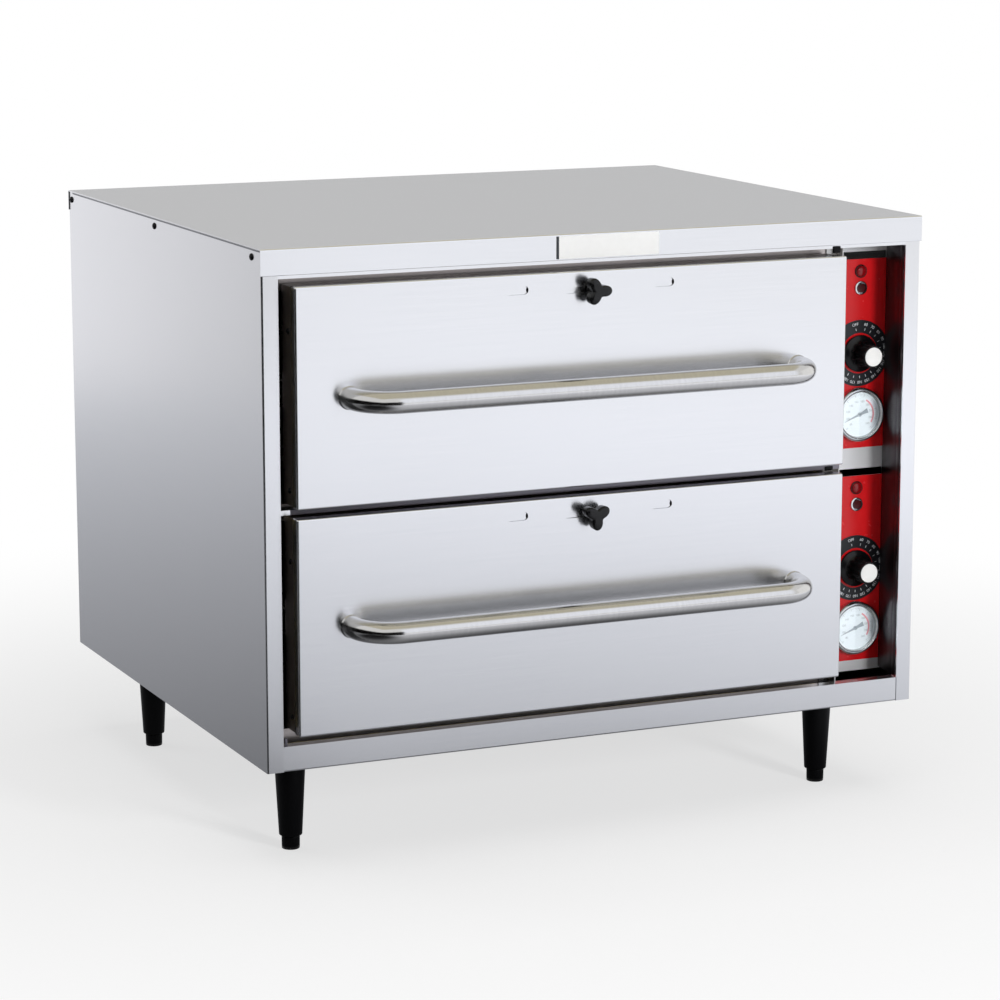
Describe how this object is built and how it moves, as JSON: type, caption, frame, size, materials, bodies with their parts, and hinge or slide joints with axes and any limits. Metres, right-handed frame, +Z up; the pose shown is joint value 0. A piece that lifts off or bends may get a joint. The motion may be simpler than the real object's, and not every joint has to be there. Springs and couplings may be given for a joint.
{
  "type": "countertop warming drawer",
  "caption": "Stainless counter-top food warmer on short legs, with stacked pull-out drawers, bar handles and a recessed control column at the right.",
  "frame": {"origin": "on the counter under the middle of the whole object's box, handles and cord gland included", "axes": "+Z up, drawers open towards -Y, +X to the right of someone facing the drawers"},
  "size_m": [0.7466, 0.7226, 0.6286],
  "materials": {
    "satin_stainless": "fine directional satin grain",
    "mill_stainless": "plain mill finish",
    "galvanised_steel": "dull galvanised sheet",
    "pressed_stainless": "bright deep-drawn sheet",
    "polished_stainless": "polished tube",
    "bearing_steel": "ground steel",
    "screw_steel": "dark round heads",
    "mineral_wool": "matted mineral fibre",
    "heater_sheath": "heat-darkened alloy tube",
    "black_phenolic": "moulded thermoset, half gloss",
    "black_nylon": "moulded, glossy",
    "red_label": "printed polyester on a plate, semi-gloss",
    "black_dial": "printed, matt",
    "thermostat_case": "plated steel case",
    "chrome_trim": "bright plated",
    "rocker_plastic": "moulded dark red rocker",
    "bezel_steel": "satin bezel",
    "window_glass": "clear window",
    "pilot_lens": "moulded dark red lens",
    "white_plate": "plain white enamel plate",
    "terminal_plastic": "moulded terminal block"
  },
  "bodies": {
    "cabinet": {"left_side_panel": "satin_stainless", "right_side_panel": "satin_stainless", "top_cover": "satin_stainless", "back_panel": "galvanised_steel", "base_pan": "satin_stainless", "front_rails": "satin_stainless", "bay_partition": "mill_stainless", "control_panel": "satin_stainless", "insulation": "mineral_wool", "body_screws": "screw_steel", "nameplate": "white_plate", "cord_gland": "black_nylon", "terminal_block": "terminal_plastic", "leg_plates": "mill_stainless", "bay_liners": "mill_stainless", "heating_elements": "heater_sheath", "thermostats": "thermostat_case", "dial_plates": "black_dial", "thermometers": "bezel_steel", "thermometer_glasses": "window_glass", "switch_bodies": "chrome_trim", "pilot_lights": "pilot_lens", "control_labels": "red_label", "slide_channels": "mill_stainless", "front_left_leg": "black_nylon", "front_right_leg": "black_nylon", "rear_left_leg": "black_nylon", "rear_right_leg": "black_nylon"},
    "upper_drawer": {"upper_drawer_face": "satin_stainless", "upper_drawer_inner": "mill_stainless", "upper_drawer_core": "mineral_wool", "upper_drawer_screws": "screw_steel", "upper_drawer_handle": "polished_stainless", "upper_drawer_frame": "mill_stainless", "upper_food_pan": "pressed_stainless"},
    "upper_drawer_rollers": {"upper_drawer_rollers": "bearing_steel"},
    "upper_cabinet_rollers": {"upper_cabinet_rollers": "bearing_steel"},
    "upper_vent_slide": {"upper_vent_slide": "satin_stainless"},
    "upper_vent_knob": {"upper_vent_knob": "black_phenolic"},
    "upper_thermostat_knob": {"upper_thermostat_knob": "black_phenolic"},
    "upper_thermometer_needle": {"upper_thermometer_needle": "black_dial"},
    "upper_switch_rocker": {"upper_switch_rocker": "rocker_plastic"},
    "lower_drawer": {"lower_drawer_face": "satin_stainless", "lower_drawer_inner": "mill_stainless", "lower_drawer_core": "mineral_wool", "lower_drawer_screws": "screw_steel", "lower_drawer_handle": "polished_stainless", "lower_drawer_frame": "mill_stainless", "lower_food_pan": "pressed_stainless"},
    "lower_drawer_rollers": {"lower_drawer_rollers": "bearing_steel"},
    "lower_cabinet_rollers": {"lower_cabinet_rollers": "bearing_steel"},
    "lower_vent_slide": {"lower_vent_slide": "satin_stainless"},
    "lower_vent_knob": {"lower_vent_knob": "black_phenolic"},
    "lower_thermostat_knob": {"lower_thermostat_knob": "black_phenolic"},
    "lower_thermometer_needle": {"lower_thermometer_needle": "black_dial"},
    "lower_switch_rocker": {"lower_switch_rocker": "rocker_plastic"},
    "front_left_foot": {"front_left_foot": "black_nylon"},
    "front_right_foot": {"front_right_foot": "black_nylon"},
    "rear_left_foot": {"rear_left_foot": "black_nylon"},
    "rear_right_foot": {"rear_right_foot": "black_nylon"}
  },
  "joints": [
    {"name": "upper_drawer_slide", "type": "slide", "parent": "cabinet", "child": "upper_drawer", "axis": [0, -1, 0], "range_m": [0, 0.4]},
    {"name": "upper_cabinet_roller_turn", "type": "hinge", "parent": "cabinet", "child": "upper_cabinet_rollers", "pos_m": [-0.0365, -0.2397, 0.4816], "axis": [1, 0, 0], "range_deg": [0, 1915]},
    {"name": "upper_drawer_roller_turn", "type": "hinge", "parent": "upper_drawer", "child": "upper_drawer_rollers", "pos_m": [-0.0365, 0.1953, 0.4816], "axis": [1, 0, 0], "range_deg": [0, 1915]},
    {"name": "upper_vent_shift", "type": "slide", "parent": "upper_drawer", "child": "upper_vent_slide", "axis": [-1, 0, 0], "range_m": [-0.004, 0.025]},
    {"name": "upper_vent_knob_turn", "type": "hinge", "parent": "upper_vent_slide", "child": "upper_vent_knob", "pos_m": [-0.0245, -0.3147, 0.5736], "axis": [0, 1, 0], "range_deg": [-270, 0]},
    {"name": "upper_thermostat_turn", "type": "hinge", "parent": "cabinet", "child": "upper_thermostat_knob", "pos_m": [0.3295, -0.2547, 0.4772], "axis": [0, 1, 0], "range_deg": [0, 300]},
    {"name": "upper_needle_turn", "type": "hinge", "parent": "cabinet", "child": "upper_thermometer_needle", "pos_m": [0.3295, -0.2377, 0.4108], "axis": [0, 1, 0], "range_deg": [-10, 230], "stiffness_Nm_per_rad": 0.0005},
    {"name": "upper_switch_flip", "type": "hinge", "parent": "cabinet", "child": "upper_switch_rocker", "pos_m": [0.3295, -0.2337, 0.5479], "axis": [-1, 0, 0], "range_deg": [0, 12]},
    {"name": "lower_drawer_slide", "type": "slide", "parent": "cabinet", "child": "lower_drawer", "axis": [0, -1, 0], "range_m": [0, 0.4]},
    {"name": "lower_cabinet_roller_turn", "type": "hinge", "parent": "cabinet", "child": "lower_cabinet_rollers", "pos_m": [-0.0365, -0.2397, 0.2511], "axis": [1, 0, 0], "range_deg": [0, 1915]},
    {"name": "lower_drawer_roller_turn", "type": "hinge", "parent": "lower_drawer", "child": "lower_drawer_rollers", "pos_m": [-0.0365, 0.1953, 0.2511], "axis": [1, 0, 0], "range_deg": [0, 1915]},
    {"name": "lower_vent_shift", "type": "slide", "parent": "lower_drawer", "child": "lower_vent_slide", "axis": [-1, 0, 0], "range_m": [-0.004, 0.025]},
    {"name": "lower_vent_knob_turn", "type": "hinge", "parent": "lower_vent_slide", "child": "lower_vent_knob", "pos_m": [-0.0245, -0.3147, 0.3431], "axis": [0, 1, 0], "range_deg": [-270, 0]},
    {"name": "lower_thermostat_turn", "type": "hinge", "parent": "cabinet", "child": "lower_thermostat_knob", "pos_m": [0.3295, -0.2547, 0.2412], "axis": [0, 1, 0], "range_deg": [0, 300]},
    {"name": "lower_needle_turn", "type": "hinge", "parent": "cabinet", "child": "lower_thermometer_needle", "pos_m": [0.3295, -0.2377, 0.1748], "axis": [0, 1, 0], "range_deg": [-10, 230], "stiffness_Nm_per_rad": 0.0005},
    {"name": "lower_switch_flip", "type": "hinge", "parent": "cabinet", "child": "lower_switch_rocker", "pos_m": [0.3295, -0.2337, 0.3119], "axis": [-1, 0, 0], "range_deg": [0, 12]},
    {"name": "front_left_foot_screw", "type": "slide", "parent": "cabinet", "child": "front_left_foot", "axis": [0, 0, -1], "range_m": [0, 0.025]},
    {"name": "front_right_foot_screw", "type": "slide", "parent": "cabinet", "child": "front_right_foot", "axis": [0, 0, -1], "range_m": [0, 0.025]},
    {"name": "rear_left_foot_screw", "type": "slide", "parent": "cabinet", "child": "rear_left_foot", "axis": [0, 0, -1], "range_m": [0, 0.025]},
    {"name": "rear_right_foot_screw", "type": "slide", "parent": "cabinet", "child": "rear_right_foot", "axis": [0, 0, -1], "range_m": [0, 0.025]}
  ],
  "couplings": [
    {"joint": "upper_cabinet_roller_turn", "follows": "upper_drawer_slide", "rad_per_m": 83.333},
    {"joint": "upper_drawer_roller_turn", "follows": "upper_drawer_slide", "rad_per_m": 83.333},
    {"joint": "lower_cabinet_roller_turn", "follows": "lower_drawer_slide", "rad_per_m": 83.333},
    {"joint": "lower_drawer_roller_turn", "follows": "lower_drawer_slide", "rad_per_m": 83.333}
  ]
}
